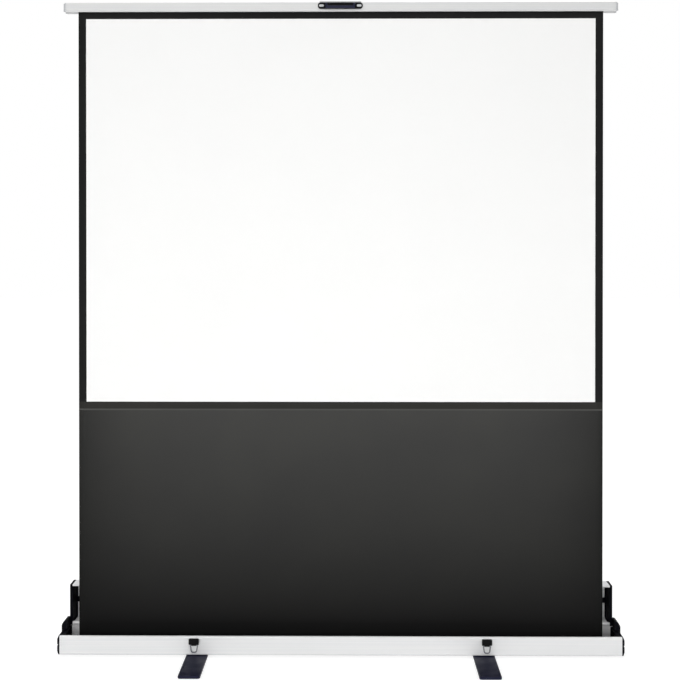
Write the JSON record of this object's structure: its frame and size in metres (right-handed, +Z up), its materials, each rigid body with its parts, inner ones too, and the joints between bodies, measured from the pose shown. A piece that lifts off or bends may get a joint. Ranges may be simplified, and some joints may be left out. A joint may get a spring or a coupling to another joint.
{
  "type": "portable projection screen",
  "caption": "Floor-standing pull-up projection screen: white view area with black border and drop, scissor support, open aluminium case with lid, latches and swivel feet.",
  "frame": {"origin": "on the floor, half way between the pivots of the two swivel feet", "axes": "+X to the right as the audience sees it, +Y away from the audience, +Z up"},
  "size_m": [1.778, 0.531, 2.06],
  "materials": {
    "clear_anodised_aluminium": "satin anodised extrusion",
    "navy_plastic": "moulded, fine texture",
    "black_plastic": "moulded",
    "grey_plastic": "moulded, light grey",
    "white_nylon": "moulded nylon",
    "zinc_steel": "zinc plated",
    "spring_steel": "oiled",
    "mill_aluminium": "mill finish flat bar",
    "screen_cloth": "matt white coated fabric with black masking",
    "black_rubber": "moulded"
  },
  "bodies": {
    "base": {"base_tray": "clear_anodised_aluminium", "base_end_cap_left": "navy_plastic", "base_end_cap_right": "navy_plastic", "base_screws": "zinc_steel", "foot_pivot_bolts": "zinc_steel", "foot_pivot_washers": "zinc_steel", "latch_base_left": "black_plastic", "latch_base_right": "black_plastic", "latch_rivets": "mill_aluminium", "latch_lever_pins": "zinc_steel", "roller_bracket_left": "zinc_steel", "roller_bracket_right": "zinc_steel", "roller_bush": "white_nylon", "spring_spindle": "zinc_steel", "torsion_spring": "spring_steel", "scissor_base_bracket": "zinc_steel", "scissor_base_pin": "zinc_steel", "base_rail": "clear_anodised_aluminium", "screen_fabric": "screen_cloth"},
    "roller": {"roller_tube": "mill_aluminium", "wound_fabric": "screen_cloth", "roller_plug_left": "black_plastic", "roller_plug_right": "black_plastic"},
    "lower_arm_fixed": {"lower_fixed_arm": "mill_aluminium", "lower_pivot_pins": "zinc_steel", "lower_friction_discs": "white_nylon"},
    "lower_arm_sliding": {"lower_sliding_arm": "mill_aluminium", "lower_shoe_pin": "zinc_steel"},
    "upper_arm_fixed": {"upper_fixed_arm": "mill_aluminium"},
    "upper_arm_sliding": {"upper_sliding_arm": "mill_aluminium", "upper_pivot_pins": "zinc_steel", "upper_friction_discs": "white_nylon"},
    "slider_lower": {"lower_shoe": "white_nylon"},
    "slider_upper": {"upper_shoe": "white_nylon"},
    "bar": {"top_bar": "clear_anodised_aluminium", "top_bar_cap_left": "grey_plastic", "top_bar_cap_right": "grey_plastic", "fabric_batten": "grey_plastic", "top_track": "clear_anodised_aluminium", "track_screws": "zinc_steel", "scissor_top_bracket": "zinc_steel", "scissor_top_pin": "zinc_steel", "handle_base": "black_plastic", "handle_rivets": "grey_plastic", "handle_saddle": "grey_plastic", "handle_grip_pins": "zinc_steel"},
    "grip": {"handle_grip": "navy_plastic"},
    "lid": {"lid_shell": "clear_anodised_aluminium", "lid_end_cap_left": "navy_plastic", "lid_end_cap_right": "navy_plastic", "lid_hinge_pins": "zinc_steel", "latch_keepers": "zinc_steel"},
    "stand_foot_left": {"foot_left": "navy_plastic", "foot_pads_left": "black_rubber"},
    "lever_left": {"latch_lever_left": "black_plastic"},
    "bail_left": {"latch_bail_left": "zinc_steel"},
    "stand_foot_right": {"foot_right": "navy_plastic", "foot_pads_right": "black_rubber"},
    "lever_right": {"latch_lever_right": "black_plastic"},
    "bail_right": {"latch_bail_right": "zinc_steel"}
  },
  "joints": [
    {"name": "scissor_fold", "type": "hinge", "parent": "base", "child": "lower_arm_fixed", "pos_m": [-0.34, 0.02515, 0.032], "axis": [0, 1, 0], "range_deg": [0, 60.98], "deforming": ["screen_fabric"]},
    {"name": "lower_cross_pivot", "type": "hinge", "parent": "lower_arm_fixed", "child": "lower_arm_sliding", "pos_m": [-0.0773, 0.02515, 0.53238], "axis": [0, 1, 0], "range_deg": [-121.96, 0]},
    {"name": "knee_pivot", "type": "hinge", "parent": "lower_arm_fixed", "child": "upper_arm_fixed", "pos_m": [0.18541, 0.02515, 1.03275], "axis": [0, 1, 0], "range_deg": [-121.96, 0]},
    {"name": "upper_cross_pivot", "type": "hinge", "parent": "upper_arm_fixed", "child": "upper_arm_sliding", "pos_m": [-0.0773, 0.02515, 1.53313], "axis": [0, 1, 0], "range_deg": [0, 121.96]},
    {"name": "bar_pivot", "type": "hinge", "parent": "upper_arm_fixed", "child": "bar", "pos_m": [-0.34, 0.02515, 2.0335], "axis": [0, 1, 0], "range_deg": [0, 60.98]},
    {"name": "lower_shoe_pivot", "type": "hinge", "parent": "lower_arm_sliding", "child": "slider_lower", "pos_m": [0.18541, 0.02515, 0.032], "axis": [0, 1, 0], "range_deg": [0, 60.98]},
    {"name": "upper_shoe_pivot", "type": "hinge", "parent": "upper_arm_sliding", "child": "slider_upper", "pos_m": [0.18541, 0.02515, 2.0335], "axis": [0, 1, 0], "range_deg": [-60.98, 0]},
    {"name": "roller_spin", "type": "hinge", "parent": "base", "child": "roller", "pos_m": [0, -0.01495, 0.04], "axis": [1, 0, 0], "range_deg": [0, 5196]},
    {"name": "lid_hinge", "type": "hinge", "parent": "base", "child": "lid", "pos_m": [0, 0.05895, 0.076], "axis": [1, 0, 0], "range_deg": [0, 7]},
    {"name": "handle_hinge", "type": "hinge", "parent": "bar", "child": "grip", "pos_m": [0, -0.0508, 2.05], "axis": [-1, 0, 0], "range_deg": [0, 100]},
    {"name": "foot_swivel_left", "type": "hinge", "parent": "base", "child": "stand_foot_left", "pos_m": [-0.45, 0, 0.002], "axis": [0, 0, 1], "range_deg": [0, 90]},
    {"name": "latch_lever_hinge_left", "type": "hinge", "parent": "base", "child": "lever_left", "pos_m": [-0.458, -0.0699, 0.0602], "axis": [-1, 0, 0], "range_deg": [0, 90]},
    {"name": "latch_bail_hinge_left", "type": "hinge", "parent": "lever_left", "child": "bail_left", "pos_m": [-0.458, -0.0699, 0.0434], "axis": [-1, 0, 0], "range_deg": [0, 100]},
    {"name": "foot_swivel_right", "type": "hinge", "parent": "base", "child": "stand_foot_right", "pos_m": [0.45, 0, 0.002], "axis": [0, 0, -1], "range_deg": [0, 90]},
    {"name": "latch_lever_hinge_right", "type": "hinge", "parent": "base", "child": "lever_right", "pos_m": [0.458, -0.0699, 0.0602], "axis": [-1, 0, 0], "range_deg": [0, 90]},
    {"name": "latch_bail_hinge_right", "type": "hinge", "parent": "lever_right", "child": "bail_right", "pos_m": [0.458, -0.0699, 0.0434], "axis": [-1, 0, 0], "range_deg": [0, 100]}
  ],
  "couplings": [
    {"joint": "lower_cross_pivot", "follows": "scissor_fold", "ratio": -2},
    {"joint": "knee_pivot", "follows": "scissor_fold", "ratio": -2},
    {"joint": "upper_cross_pivot", "follows": "scissor_fold", "ratio": 2},
    {"joint": "bar_pivot", "follows": "scissor_fold", "ratio": 1},
    {"joint": "lower_shoe_pivot", "follows": "scissor_fold", "ratio": 1},
    {"joint": "upper_shoe_pivot", "follows": "scissor_fold", "ratio": -1},
    {"joint": "roller_spin", "follows": "scissor_fold", "ratio": 85.19}
  ]
}
